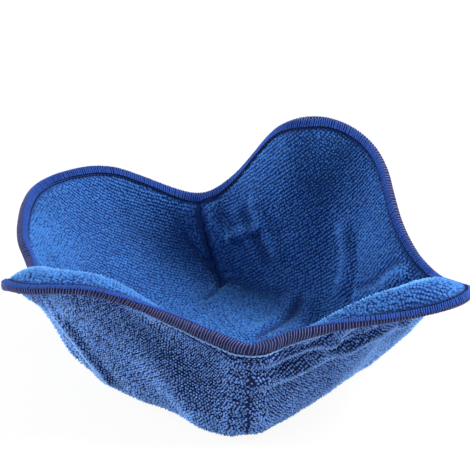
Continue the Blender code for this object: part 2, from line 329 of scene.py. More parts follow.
def at_lengths(curve: np.ndarray, wanted: np.ndarray) -> np.ndarray:
    """Points of an open curve at these distances along it."""
    return read_at(wanted, lengths_along(curve), curve)


def looped(ring: np.ndarray) -> np.ndarray:
    """The rows with the first one again at their end."""
    return np.concatenate([ring, ring[:1]])


@dataclass
class ClothForm:
    """The shape of the sewn cloth: the middle surface between its layers, as a grid for each lobe.

    The grids' axes are the lobe, the column from one dart to the next, and the row from the rim to the middle
    of the base. The last column of a lobe and the first of the next are one line of the surface.

    The puckers' starts are radians from lobe to lobe, and their slant is radians for each metre away from the
    seam. The inner bands give the band's reach inside at the middle of each lobe. The fields that are worked
    out come last: the middle surface and its normals, its points' flat places, their depth below the rim, how
    far they are from a seam, the share of its thickness that a layer keeps, and what the creases do.
    """

    base_half_diagonal: float = 0.069
    base_roundness: float = 1.22
    fold_radius: float = 0.0090
    corner_fold_radius: float = 0.0060
    brim_at_dart: float = 0.35
    stretch_weight: float = 0.85
    even_weight: float = 0.15
    cloth_thickness: float = 0.0020
    wadding_thickness: float = 0.0016
    layer_gap: float = 0.0003
    seam_squeeze: float = 0.55
    seam_width: float = 0.0070
    rim_squeeze: float = 0.42
    band_width: float = 0.0036
    dart_half_angle: float = math.radians(6)
    columns: int = 96
    wall_rows: int = 62
    base_rows: int = 24
    curve_samples: int = 160
    smoothing: int = 16
    pucker_pitch: float = 0.0075
    pucker_rise: float = 0.00020
    pucker_reach: float = 0.0080
    pucker_starts: tuple[float, float] = (2.2, 4.1)
    pucker_slant: float = 300.0
    fine_pucker: float = 0.8
    fine_pucker_rate: float = 1.7
    puff_rise: float = 0.0007
    puff_reach: float = 0.0065
    groove_limit: float = 0.0006
    floor_reach: float = 0.010
    outer_band: float = 0.0031
    inner_bands: tuple[float, ...] = (0.0018, 0.0027, 0.0030, 0.0011)
    points: np.ndarray = field(init=False)
    normals: np.ndarray = field(init=False)
    flat: np.ndarray = field(init=False)
    depth: np.ndarray = field(init=False)
    to_seam: np.ndarray = field(init=False)
    kept: np.ndarray = field(init=False)
    own_rises: dict[Side, np.ndarray] = field(init=False)
    own_painted_shades: dict[Side, np.ndarray] = field(init=False)

    def __post_init__(self) -> None:
        """Works out every grid."""
        self.floor_height = self.wadding_thickness / 2 + self.layer_gap + self.cloth_thickness
        self.middle = np.array([0, 0, self.floor_height])
        shares = np.linspace(0, 1, self.columns + 1)
        rims = self.rim_curves(shares)
        self.points = self.raise_walls(shares, rims)
        self.depth = self.depth_below_rim()
        self.normals = self.inward_normals()
        self.push(self.fold_rises(shares))
        self.smooth()
        self.to_seam = self.seam_distance()
        self.push(self.pucker_rises() + self.sag_rises())
        self.kept = self.squeeze()
        self.own_rises = {side: self.crease_rises(side) for side in Side}
        self.own_painted_shades = {side: self.crease_painted_shades(side) for side in Side}

    def base_radius(self, azimuth: float) -> float:
        """How far an even base's edge is from its middle: a rounded square with the darts at its corners."""
        c, s = abs(math.cos(azimuth)), abs(math.sin(azimuth))
        power = self.base_roundness
        return self.base_half_diagonal / (c**power + s**power) ** (1 / power)

    def station_point(self, station: Station) -> np.ndarray:
        """A station's place."""
        azimuth = math.radians(station.azimuth)
        reach = self.base_radius(azimuth) + station.lean
        return np.array([reach * math.cos(azimuth), reach * math.sin(azimuth), station.height])

    def rim_curves(self, shares: np.ndarray) -> np.ndarray:
        """The rim of each lobe, as points at these shares of its length."""
        places, starts = [], []
        for lobe in LOBES:
            starts.append(len(places) * self.curve_samples)
            places += [self.station_point(station) for station in (lobe.dart.rim, *lobe.stations)]
        curve = looped(closed_spline(np.array(places), self.curve_samples))
        ends = starts[1:] + [len(curve) - 1]
        rims = []
        for start, end in zip(starts, ends):
            stretch = curve[start : end + 1]
            rims.append(at_lengths(stretch, shares * lengths_along(stretch)[-1]))
        return np.array(rims)

    def dart_tip(self, dart: Dart) -> np.ndarray:
        """Where a dart ends on the base, seen from above."""
        azimuth = math.radians(dart.azimuth)
        return (self.base_half_diagonal + dart.reach) * np.array([math.cos(azimuth), math.sin(azimuth), 0])

    def raise_walls(self, shares: np.ndarray, rims: np.ndarray) -> np.ndarray:
        """The middle surface before its folds, and with it the flat place of each of its points."""
        loop = rims[:, :-1].reshape(-1, 3)
        along = unit(np.roll(loop, -1, axis=0) - np.roll(loop, 1, axis=0))
        across = unit(np.cross(along, [0, 0, 1.0]))
        outward = self.split(unit(across + unit(loop * [1, 1, 0])))
        points, flats = [], []
        for k, lobe in enumerate(LOBES):
            following = LOBES[(k + 1) % len(LOBES)].dart
            turns = shares
            for _ in range(2):
                columns = [
                    self.column(lobe, following, float(share), float(turn), rims[k, i], outward[k, i])
                    for i, (share, turn) in enumerate(zip(shares, turns))
                ]
                places = np.array([column[0] for column in columns])
                flat = np.array([column[1] for column in columns])
                turns = self.even_turns(places, flat, shares)
            points.append(places)
            flats.append(flat)
        self.flat = np.array(flats)
        return np.array(points)

    def even_turns(self, places: np.ndarray, flat: np.ndarray, shares: np.ndarray) -> np.ndarray:
        """How far each column of the flat lobe turns, from 0 to 1, for the cloth to be stretched evenly."""
        row = self.wall_rows // 2
        down = unit(places[:, row + 2] - places[:, row - 2])
        steps = np.diff(places[:, row], axis=0)
        down = (down[1:] + down[:-1]) / 2
        apart = np.linalg.norm(steps - down * (steps * down).sum(axis=1, keepdims=True), axis=1)
        edge_steps = np.diff(flat[:, self.wall_rows], axis=0)
        away = flat[1:, row] - flat[1:, self.wall_rows]
        lengths = np.linalg.norm(away, axis=1)
        at_edge = np.abs(edge_steps[:, 0] * away[:, 1] - edge_steps[:, 1] * away[:, 0]) / lengths
        turned = np.maximum((apart - at_edge) / lengths, 0)
        turned = turned / turned.sum() * self.stretch_weight + np.diff(shares) * self.even_weight
        return np.concatenate([[0], np.cumsum(turned)])

    def column(
        self, lobe: Lobe, following: Dart, share: float, turned: float, tip: np.ndarray, outward: np.ndarray
    ) -> tuple[np.ndarray, np.ndarray]:
        """One column of the surface, from the rim down and in to the middle of the base.

        Args:
            lobe: the lobe that it is in.
            following: the dart at the lobe's far end.
            share: its share of the way from the lobe's own dart to that one.
            turned: its share of the turn that the flat lobe's columns make between them.
            tip: its point on the rim.
            outward: the level direction out of the bowl there.

        Returns:
            Its points, and their places on the flat cloth.
        """
        dart = lobe.dart
        middle = math.sin(math.pi * share) ** 2

        def between(first: float, second: float, own: float) -> float:
            """A value that the two darts give at the lobe's ends, and the lobe's own at its middle."""
            at_darts = first + (second - first) * share
            return at_darts + (own - at_darts) * middle

        weights = np.array([1 - share, share])
        weights = weights / (weights**self.base_roundness).sum() ** (1 / self.base_roundness)
        edge = weights[0] * self.dart_tip(dart) + weights[1] * self.dart_tip(following)
        away = unit(edge)
        flat_edge = edge[:2].copy()
        edge = edge + self.middle
        turn = between(self.corner_fold_radius, self.corner_fold_radius, self.fold_radius)
        bulge = between(dart.bulge, following.bulge, lobe.bulge)
        flare = math.radians(between(dart.flare, following.flare, lobe.tip_flare))
        straight = self.brim_at_dart * float(np.linalg.norm(tip - edge))
        brim = between(straight, straight, lobe.brim)
        direction = outward * math.cos(flare) + np.array([0, 0, math.sin(flare)])
        start, pull, brim_start = edge - away * turn, edge + away * (turn + bulge), tip - direction * brim
        u = np.linspace(1, 0, self.curve_samples)[:, None]
        curve = (
            (1 - u) ** 3 * start
            + 3 * (1 - u) ** 2 * u * pull
            + 3 * (1 - u) * u**2 * brim_start
            + u**3 * tip
        )
        length = lengths_along(curve)[-1]
        wall = at_lengths(curve, np.linspace(0, length, self.wall_rows + 1))
        rings = np.linspace(1, 0, self.base_rows + 1)[1:]
        base = self.middle + (wall[-1] - self.middle) * rings[:, None]

        lobe_azimuth = math.radians(dart.azimuth)
        wall_angle = lobe_azimuth + self.dart_half_angle + (math.pi / 2 - 2 * self.dart_half_angle) * turned
        wall_length = length - turn
        flat_tip = flat_edge + wall_length * np.array([math.cos(wall_angle), math.sin(wall_angle)])
        path = np.array([flat_tip, flat_edge, [0.0, 0.0]])
        on_wall = np.linspace(0, wall_length + turn, self.wall_rows + 1)
        inner = float(np.linalg.norm(flat_edge)) - turn
        distances = np.concatenate([on_wall, length + inner * (1 - rings)])
        return np.concatenate([wall, base]), at_lengths(path, distances)

    def closed(self, grids: np.ndarray) -> np.ndarray:
        """The lobes' grids as one grid round the whole rim, with each dart's column once."""
        return grids[:, :-1].reshape(-1, *grids.shape[2:])

    def split(self, ring: np.ndarray) -> np.ndarray:
        """One grid round the rim as the lobes' grids again, with each dart's column in both of its lobes."""
        lobes = ring.reshape(len(LOBES), self.columns, *ring.shape[1:])
        return np.concatenate([lobes, np.roll(lobes[:, :1], -1, axis=0)], axis=1)

    def depth_below_rim(self) -> np.ndarray:
        """How far down the cloth each point lies from the rim."""
        steps = np.linalg.norm(np.diff(self.points, axis=2), axis=3)
        return np.concatenate([np.zeros((*steps.shape[:2], 1)), np.cumsum(steps, axis=2)], axis=2)

    def inward_normals(self, places: np.ndarray | None = None) -> np.ndarray:
        """Unit normals that point into the bowl, of these places or else of the middle surface."""
        ring = self.closed(self.points if places is None else places)
        along = np.roll(ring, -1, axis=0) - np.roll(ring, 1, axis=0)
        down = np.gradient(ring, axis=1)
        normals = np.cross(along, down)
        normals[:, -1] = [0, 0, 1.0]
        return self.split(unit(normals))

    def push(self, rises: np.ndarray) -> None:
        """Moves the surface out by these distances, keeps its base flat, and renews its normals."""
        self.points = self.points - self.normals * rises[..., None]
        self.points[..., 2] = np.maximum(self.points[..., 2], self.floor_height)
        self.normals = self.inward_normals()

    def smooth(self) -> None:
        """Evens out the walls, with the rim and the darts kept as they are."""
        ring = self.closed(self.points)
        free = np.ones(len(ring))
        free[:: self.columns] = 0
        free = np.minimum(free, (np.roll(free, 1) + np.roll(free, -1)) / 2)[:, None, None]
        walls = slice(1, self.wall_rows)
        for _ in range(self.smoothing):
            around = (np.roll(ring, 1, axis=0) + np.roll(ring, -1, axis=0))[:, walls]
            around = (around + ring[:, : self.wall_rows - 1] + ring[:, 2 : self.wall_rows + 1]) / 4
            ring[:, walls] += (around - ring[:, walls]) * 0.5 * free
        self.points = self.split(ring)
        self.normals = self.inward_normals()

    def fold_rises(self, shares: np.ndarray) -> np.ndarray:
        """How far the soft folds push each point out."""
        rises = np.zeros_like(self.depth)
        for fold in FOLDS:
            k = lobe_number(fold.lobe)
            across = hump(shares - fold.across, fold.across_reach)
            rises[k] += fold.rise * across[:, None] * hump(self.depth[k] - fold.depth, fold.depth_reach)
        return rises

    def seam_distance(self) -> np.ndarray:
        """How far each point is from its lobe's nearer dart seam, with the base's points far from both."""
        near = np.minimum(
            np.linalg.norm(self.points - self.points[:, :1], axis=3),
            np.linalg.norm(self.points - self.points[:, -1:], axis=3),
        )
        near[:, :, -self.base_rows :] += self.base_half_diagonal
        return near

    def pucker_rises(self) -> np.ndarray:
        """The small puckers that the stitches pull into the cloth beside each dart, no two darts alike."""
        lobe = np.arange(len(LOBES))[:, None, None]
        phase = 2 * math.pi * self.depth / self.pucker_pitch
        coarse_start, fine_start = (start * lobe for start in self.pucker_starts)
        fine = np.sin(self.fine_pucker_rate * phase + fine_start + self.pucker_slant * self.to_seam)
        wave = np.sin(phase + coarse_start) + self.fine_pucker * fine
        return self.pucker_rise * wave * hump(self.to_seam - self.pucker_reach / 3, self.pucker_reach)

    def sag_rises(self) -> np.ndarray:
        """The shallow unevenness of cloth that stands by itself."""
        ring = self.closed(self.points)
        rises = np.zeros(ring.shape[:2])
        for i in range(ring.shape[0]):
            for j in range(ring.shape[1] - self.base_rows):
                place = Vector(ring[i, j])
                rises[i, j] = sum(
                    sag.height * noise.noise(place * sag.scale + Vector(sag.shift)) for sag in SAGS
                )
        return self.split(rises)

    def squeeze(self) -> np.ndarray:
        """The share of its thickness that a layer keeps: less at a dart's stitches and at the rim."""
        to_rim = np.clip(self.depth / (2 * self.band_width), 0, 1)
        at_seam = 1 - (1 - self.seam_squeeze) * hump(self.to_seam, self.seam_width)
        return at_seam * (self.rim_squeeze + (1 - self.rim_squeeze) * to_rim)

    def crease_humps(self, side: Side) -> list[np.ndarray]:
        """How near each point is to each crease of one cloth: 1 on its line, and 0 past its reach."""
        humps = []
        for crease in CREASES[side]:
            points = np.array(crease.points) * MM
            nearest = np.full_like(self.depth, np.inf)
            for start, end in zip(points, points[1:]):
                leg = end - start
                share = np.clip(((self.flat - start) @ leg) / (leg @ leg), 0, 1)
                away = np.linalg.norm(self.flat - start - share[..., None] * leg, axis=3)
                nearest = np.minimum(nearest, away)
            humps.append(hump(nearest, crease.reach))
        return humps

    def crease_painted_shades(self, side: Side) -> np.ndarray:
        """How much darker the loops of one cloth are painted in its creases: painted shade."""
        return sum(crease.shade * near for crease, near in zip(CREASES[side], self.crease_humps(side)))

    def crease_rises(self, side: Side) -> np.ndarray:
        """How far the creases and the puffed strips beside the darts lift one cloth off the wadding."""
        rises = sum(crease.rise * near for crease, near in zip(CREASES[side], self.crease_humps(side)))
        puffed = self.puff_rise * hump(self.to_seam - self.puff_reach, self.puff_reach)
        below_band = ramp(self.depth, self.band_width, 3 * self.band_width)
        on_floor = ramp(self.depth - self.depth[:, :, [-1 - self.base_rows]], -self.floor_reach, 0.0)
        free = 1 - on_floor if side is Side.OUTER else 1.0
        return np.maximum((rises + puffed) * below_band * free, -self.groove_limit * self.kept)

    def band_reach(self, side: Side) -> np.ndarray:
        """How far the overlocked band reaches down one cloth, in each column round the rim."""
        count = len(LOBES) * self.columns
        if side is Side.OUTER:
            return np.full(count, self.outer_band)
        middles = (np.arange(len(LOBES)) + 0.5) * self.columns
        return np.interp(np.arange(count), middles, self.inner_bands, period=count)

    def face(self, side: Side, share: float) -> np.ndarray:
        """The surface at a share of a cloth's thickness: 0 at the wadding, and 1 at the tips of its pile."""
        near = self.wadding_thickness / 2 * self.kept + self.layer_gap + self.own_rises[side]
        away = near + share * self.cloth_thickness * self.kept
        return self.points + side.inward * self.normals * away[..., None]


class Socket:
    """A shader node's output, with arithmetic that adds Math nodes."""

    def __init__(self, graph: "Graph", output: bpy.types.NodeSocket) -> None:
        """Wraps one output of a node in a graph."""
        self.graph = graph
        self.output = output

    def maths(self, operation: str, other: "Socket | float") -> "Socket":
        """A Math node of this operation on this and the other."""
        return self.graph.node("ShaderNodeMath", {0: self, 1: other}, {"operation": operation})

    def __add__(self, other: "Socket | float") -> "Socket":
        """Their sum."""
        return self.maths("ADD", other)

    def __sub__(self, other: "Socket | float") -> "Socket":
        """This less the other."""
        return self.maths("SUBTRACT", other)

    def __mul__(self, other: "Socket | float") -> "Socket":
        """Their product."""
        return self.maths("MULTIPLY", other)


class Graph:
    """A material's or a world's nodes."""

    def __init__(self, owner: bpy.types.Material | bpy.types.World) -> None:
        """Takes the owner's node tree and empties it."""
        owner.use_nodes = True
        self.tree = owner.node_tree
        self.tree.nodes.clear()

    def node(
        self, kind: str, values: dict | None = None, settings: dict | None = None, output: str | int = 0
    ) -> Socket:
        """Adds a node.

        Args:
            kind: the node's type.
            values: for each input, by name or number, a value or a socket to link.
            settings: its properties.
            output: the output to return.

        Returns:
            That output, wrapped.
        """
        made = self.tree.nodes.new(kind)
        for name, value in (settings or {}).items():
            setattr(made, name, value)
        for name, value in (values or {}).items():
            if isinstance(value, Socket):
                self.tree.links.new(value.output, made.inputs[name])
            else:
                made.inputs[name].default_value = value
        return Socket(self, made.outputs[output])

    def mix_colours(self, factor: Socket, first: "Colour", second: "Colour") -> Socket:
        """A blend of two colours."""
        settings = {"data_type": "RGBA", "blend_type": "MIX"}
        return self.node("ShaderNodeMix", {0: factor, 6: first, 7: second}, settings, output=2)

    def noise(self, place: Socket, scale: float, detail: float = 2.0, roughness: float = 0.5) -> Socket:
        """Noise between 0 and 1 at these places."""
        values = {"Vector": place, "Scale": scale, "Detail": detail, "Roughness": roughness}
        return self.node("ShaderNodeTexNoise", values)

    def object_place(self) -> Socket:
        """Where a point is, in metres."""
        return self.node("ShaderNodeTexCoord", output="Object")

    def attribute(self, name: str) -> Socket:
        """A mesh's own value of this name."""
        return self.node("ShaderNodeAttribute", settings={"attribute_name": name}, output="Fac")

    def finish(self, shader: Socket) -> None:
        """Ends the tree with this shader."""
        world = isinstance(self.tree.id_data, bpy.types.World)
        made = self.tree.nodes.new("ShaderNodeOutputWorld" if world else "ShaderNodeOutputMaterial")
        self.tree.links.new(shader.output, made.inputs["Surface"])


Colour = tuple[float, float, float, float]


@dataclass(frozen=True)
class Finish:
    """A textile's material: two colours blended by a pattern, with fine relief and a sheen."""

    name: str
    shade: Colour
    light: Colour
    sheen: float = 0.2
    sheen_tint: Colour | None = None
    sheen_roughness: float = 0.5
    roughness: float = 0.95
    gloss: float = 0.1
    relief: float = 0.0003
    relief_strength: float = 0.7

    def pattern(self, graph: Graph) -> tuple[Socket, Socket]:
        """How light each point is, 0 at the shade and 1 at the light, and how high its fibres are."""
        raise NotImplementedError

    def material(self) -> bpy.types.Material:
        """The material."""
        material = bpy.data.materials.new(self.name)
        graph = Graph(material)
        amount, fibres = self.pattern(graph)
        relief = {"Strength": self.relief_strength, "Distance": self.relief, "Height": fibres}
        shader = graph.node(
            "ShaderNodeBsdfPrincipled",
            {
                "Base Color": graph.mix_colours(amount, self.shade, self.light),
                "Roughness": self.roughness,
                "Normal": graph.node("ShaderNodeBump", relief, output="Normal"),
                "Specular IOR Level": self.gloss,
                "Sheen Weight": self.sheen,
                "Sheen Roughness": self.sheen_roughness,
                "Sheen Tint": self.sheen_tint or self.light,
            },
        )
        graph.finish(shader)
        return material


@dataclass(frozen=True)
class PileFinish(Finish):
    """Looped microfibre: lighter or darker from loop to loop, with a brushed, dusty sheen."""

    sheen: float = 0.9
    sheen_roughness: float = 0.35
    roughness: float = 0.85
    gloss: float = 0.25
    relief: float = 0.00022
    relief_strength: float = 0.6
    tone_gain: float = 0.35
    tip_highlight_gain: float = 0.45
    patch_gain: float = 0.5
    patch_scale: float = 45.0
    fibre_gain: float = 0.3
    fibre_scale: float = 1300.0
    lift: float = 0.15

    def pattern(self, graph: Graph) -> tuple[Socket, Socket]:
        """Each loop's own tone with its painted shade, a painted highlight at its tip, in soft patches."""
        place = graph.object_place()
        patches = graph.noise(place, self.patch_scale, 3.0)
        fibres = graph.noise(place, self.fibre_scale, 2.0, 0.6)
        # The tip attribute is a painted highlight: each loop is painted lighter towards its tip.
        loops = graph.attribute("tone") * self.tone_gain + graph.attribute("tip") * self.tip_highlight_gain
        uneven = (patches - 0.5) * self.patch_gain
        return loops + uneven + (fibres - 0.5) * self.fibre_gain + self.lift, fibres


@dataclass(frozen=True)
class GroundFinish(Finish):
    """The knitted ground of the cloth, seen between the loops."""

    knit_scale: float = 700.0

    def pattern(self, graph: Graph) -> tuple[Socket, Socket]:
        """The knit."""
        knit = graph.noise(graph.object_place(), self.knit_scale, 3.0, 0.65)
        return knit, knit


@dataclass(frozen=True)
class ThreadFinish(Finish):
    """Textured polyester thread, with fine plies across it."""

    sheen: float = 0.1
    roughness: float = 0.75
    gloss: float = 0.15
    relief: float = 0.00015
    relief_strength: float = 0.5
    ply_gain: float = 0.6
    ply_scale: float = 1500.0
    patch_gain: float = 0.5
    patch_scale: float = 160.0

    def pattern(self, graph: Graph) -> tuple[Socket, Socket]:
        """The plies, in soft patches."""
        place = graph.object_place()
        plies = graph.noise(place, self.ply_scale, 2.0, 0.6)
        patches = graph.noise(place, self.patch_scale, 2.0)
        return plies * self.ply_gain + patches * self.patch_gain, plies


# The outer pile's loops get the stronger painted highlight at their tips.
OUTER_PILE = PileFinish(
    "outer_pile",
    shade=(0.008, 0.022, 0.110, 1),
    light=(0.175, 0.370, 0.900, 1),
    sheen_tint=(0.40, 0.72, 1.0, 1),
    tip_highlight_gain=0.92,
    lift=-0.02,
)
INNER_PILE = PileFinish(
    "inner_pile",
    shade=(0.006, 0.030, 0.145, 1),
    light=(0.042, 0.192, 0.565, 1),
    sheen_tint=(0.26, 0.62, 1.0, 1),
    sheen=0.8,
)
# The grounds are far darker than the pile: partly the cloth's own colour, partly painted shade between loops.
OUTER_GROUND = GroundFinish("outer_ground", (0.004, 0.007, 0.040, 1), (0.012, 0.022, 0.100, 1))
INNER_GROUND = GroundFinish("inner_ground", (0.007, 0.026, 0.122, 1), (0.018, 0.070, 0.275, 1))
WADDING = GroundFinish("wadding_sheet", (0.55, 0.55, 0.53, 1), (0.80, 0.80, 0.78, 1))
WRAP_THREAD = ThreadFinish("overlock_outer", (0.018, 0.024, 0.090, 1), (0.115, 0.135, 0.330, 1))
CLOSE_THREAD = ThreadFinish("overlock_inner", (0.004, 0.016, 0.110, 1), (0.024, 0.085, 0.370, 1))
# The bed is nearly black: a real thread, painted dark as the shade between the wraps over it.
BED_THREAD = ThreadFinish("overlock_bed", (0.003, 0.004, 0.022, 1), (0.008, 0.011, 0.055, 1), sheen=0.0)
NEEDLE_THREAD = ThreadFinish("needle_thread", (0.070, 0.150, 0.38, 1), (0.22, 0.39, 0.74, 1))
# The dart thread is nearly black: along the darts its darkness is painted shade in the seams' grooves.
DART_THREAD = ThreadFinish("dart_thread", (0.004, 0.006, 0.03, 1), (0.012, 0.02, 0.08, 1), sheen=0.0)


def dress(obj: bpy.types.Object, material: bpy.types.Material, slot: str, *nodes: str) -> None:
    """Gives a piece its material and its place in the model.

    Args:
        obj: the piece.
        material: its material.
        slot: the record's material slot for its finish; it is not used.
        nodes: the CAD nodes that it stands for.
    """
    obj.data.materials.append(material)
    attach(obj, "root")
    if nodes:
        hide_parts(*nodes)


def linked(name: str, data: bpy.types.ID) -> bpy.types.Object:
    """A new object of this mesh or curve, in the scene."""
    obj = bpy.data.objects.new(name, data)
    bpy.context.scene.collection.objects.link(obj)
    return obj


def grid_sheet(name: str, places: np.ndarray, flats: np.ndarray | None = None) -> bpy.types.Object:
    """A sheet of quads shaped from flat grids, one for each lobe, and sewn along their edges.

    Args:
        name: the piece's name.
        places: for each lobe, column and row, the point that the grid's corner moves to.
        flats: for each, its place on the flat cloth, which becomes the UV map.

    Returns:
        The new object, smooth shaded.
    """
    bm = bmesh.new()
    uv_of = {}
    for k in range(places.shape[0]):
        columns, rows = places.shape[1:3]
        made = bmesh.ops.create_grid(bm, x_segments=columns - 1, y_segments=rows - 1, size=1.0)
        for index, vert in enumerate(made["verts"]):
            i, j = index % columns, index // columns
            vert.co = places[k, i, j]
            if flats is not None:
                uv_of[vert] = flats[k, i, j]
    if flats is not None:
        layer = bm.loops.layers.uv.new("flat_cloth")
        for face in bm.faces:
            for loop in face.loops:
                loop[layer].uv = uv_of[loop.vert] * UV_SCALE + 0.5
    bmesh.ops.remove_doubles(bm, verts=bm.verts, dist=1e-6)
    bmesh.ops.dissolve_degenerate(bm, edges=bm.edges, dist=1e-7)
    for face in bm.faces:
        face.smooth = True
    mesh = bpy.data.meshes.new(name)
    bm.to_mesh(mesh)
    bm.free()
    return linked(name, mesh)


def thicken(obj: bpy.types.Object, thickness: float) -> None:
    """Gives a sheet its thickness, behind the face that it has."""
    wall = obj.modifiers.new("thickness", "SOLIDIFY")
    wall.thickness = thickness
    wall.offset = -1
    wall.use_even_offset = False


def thread(name: str, paths: list[np.ndarray], radius: float, closed: bool = False) -> bpy.types.Object:
    """Threads of one thickness, each along its own path.

    Args:
        name: the piece's name.
        paths: each thread's points.
        radius: of the thread.
        closed: whether each path ends where it starts.

    Returns:
        The new object, a curve.
    """
    curve = bpy.data.curves.new(name, "CURVE")
    curve.dimensions = "3D"
    curve.bevel_depth = radius
    curve.bevel_resolution = THREAD_RESOLUTION
    curve.use_fill_caps = not closed
    for path in paths:
        spline = curve.splines.new("POLY")
        spline.points.add(len(path) - 1)
        spline.points.foreach_set("co", np.concatenate([path, np.ones((len(path), 1))], axis=1).ravel())
        spline.use_cyclic_u = closed
        spline.use_smooth = True
    return linked(name, curve)


@dataclass
class Cloth:
    """One of the two cloths: its knitted ground, and the loops of its pile in rows along the grain.

    No loop stands within the bare edge below the band, or within the bare seam beside a dart. Next to these
    strips the loops are low, and they are painted darker: painted shadow below the band and painted shade
    beside the seam. From the full edge and the full seam on they have their full height. Where the sewn cloth
    is stretched to more than filled_from times its flat area, more loops stand between the others.
    """

    form: ClothForm
    side: Side
    lattice_reach: float = 0.135
    row_pitch: float = 0.00170
    loop_pitch: float = 0.00150
    loop_length: float = 0.00190
    loop_width: float = 0.00155
    loop_height: float = 0.00120
    sunk: float = 0.00030
    jitter: float = 0.00034
    turn_spread: float = 0.28
    size_range: tuple[float, float] = (0.82, 1.15)
    lean_spread: float = 0.25
    height_range: tuple[float, float] = (0.75, 1.15)
    stretch_range: tuple[float, float] = (0.75, 1.15)
    tone_spread: float = 0.22
    bare_edge: float = 0.0015
    full_edge: float = 0.0035
    edge_start: float = 0.0006
    edge_painted_shadow: float = 0.6
    edge_painted_shadow_reach: float = 0.0016
    bare_seam: float = 0.0018
    full_seam: float = 0.0040
    seam_painted_shade: float = 2.0
    seam_painted_shade_reach: float = 0.0046
    least_height: float = 0.45
    seam_height: float = 0.35
    filled_from: float = 1.22
    normal_share: float = 0.55
    ground_fill: float = 0.8
    seed: int = 11

    def build_ground(self, finish: GroundFinish, slot: str, node: str) -> bpy.types.Object:
        """The ground, as a sheet with its own thickness, whose faces look away from the wadding."""
        step = self.side.inward
        places = self.form.face(self.side, GROUND_SHARE)[:, ::step]
        ground = grid_sheet(f"{self.side.value}_ground", places, self.form.flat[:, ::step])
        thicken(ground, self.form.cloth_thickness * GROUND_SHARE * self.ground_fill)
        dress(ground, finish.material(), slot, node)
        return ground

    def lattice(self, rng: np.random.Generator) -> np.ndarray:
        """The loops' places on the flat cloth, and after them as many between, for where it is stretched."""
        rows = np.arange(-self.lattice_reach, self.lattice_reach, self.row_pitch)
        along = np.arange(-self.lattice_reach, self.lattice_reach, self.loop_pitch)
        x, y = np.meshgrid(along, rows)
        x = x + (np.arange(len(rows)) % 2)[:, None] * self.loop_pitch / 2
        places = np.stack([x.ravel(), y.ravel()], axis=1)
        between = places + np.array([self.loop_pitch, self.row_pitch]) / 2
        places = np.concatenate([places, between])
        return places + rng.uniform(-self.jitter, self.jitter, places.shape)

    def landings(self, rng: np.random.Generator) -> tuple[np.ndarray, np.ndarray, np.ndarray]:
        """The part of the lattice that falls on the cloth.

        Returns:
            Its places, the three points of the cloth's grid that are round each, and whether each is one of
            those in between.
        """
        grid = self.form.depth.shape
        index = np.arange(math.prod(grid)).reshape(grid)
        a, b = index[:, :-1, :-1], index[:, 1:, :-1]
        c, d = index[:, 1:, 1:], index[:, :-1, 1:]
        halves = ((a, b, c), (a, c, d))
        triangles = np.concatenate([np.stack(half, axis=3).reshape(-1, 3) for half in halves])
        flats = self.form.flat.reshape(-1, 2)
        corners = np.concatenate([flats, np.zeros((len(flats), 1))], axis=1)
        tree = BVHTree.FromPolygons(corners.tolist(), triangles.tolist())
        down = Vector((0, 0, -1))
        wanted = self.lattice(rng)
        hits = [tree.ray_cast(Vector((x, y, 1.0)), down)[2] for x, y in wanted]
        found = np.array([hit is not None for hit in hits])
        between = np.arange(len(wanted)) >= len(wanted) // 2
        faces = [hit for hit in hits if hit is not None]
        return wanted[found], triangles[faces], between[found]

    def loop_frames(self, rng: np.random.Generator) -> dict[str, np.ndarray]:
        """Where each loop stands on the sewn cloth.

        Returns:
            For each loop: "place", "normal", "along" and "across" its row, the cloth's "stretch" in these two
            directions, "height" from 0 to 1, its painted shade beside a seam and below the band as "shaded"
            and in a crease as "creased", and "lobe".
        """
        form = self.form
        _, columns, rows = form.depth.shape
        top = form.face(self.side, GROUND_SHARE).reshape(-1, 3)
        normals = (form.inward_normals(form.face(self.side, 1)) * self.side.inward).reshape(-1, 3)
        flats = form.flat.reshape(-1, 2)
        flat, corner, between = self.landings(rng)

        def legs(values: np.ndarray) -> np.ndarray:
            """The two edges of each loop's triangle that start from its first corner."""
            return np.stack([values[corner[:, k]] - values[corner[:, 0]] for k in (1, 2)], axis=2)

        inverse = np.linalg.pinv(legs(flats))
        shares = np.einsum("nij,nj->ni", inverse, flat - flats[corner[:, 0]])
        weights = np.concatenate([1 - shares.sum(axis=1, keepdims=True), shares], axis=1)

        def blend(values: np.ndarray) -> np.ndarray:
            """The values of the grid's points, as they are where each loop stands."""
            return np.einsum("nk,nk...->n...", weights, values[corner])

        jacobian = np.einsum("nij,njk->nik", legs(top), inverse)
        normal = unit(blend(normals))
        along = jacobian[:, :, 0]
        length = np.linalg.norm(along, axis=1)
        area = np.linalg.norm(np.cross(along, jacobian[:, :, 1]), axis=1)
        along = unit(along - normal * (along * normal).sum(axis=1, keepdims=True))
        to_seam = blend(form.to_seam.reshape(-1))
        band = np.repeat(form.split(form.band_reach(self.side))[..., None], rows, axis=2)
        below = blend(form.depth.reshape(-1)) - blend(band.reshape(-1))
        at_seam = self.seam_height + (1 - self.seam_height) * ramp(to_seam, 0.0, self.full_seam)
        height = ramp(below, self.bare_edge - self.edge_start, self.full_edge) * at_seam
        standing = (below > self.bare_edge) & (to_seam > self.bare_seam)
        standing &= ~between | (area > self.filled_from)
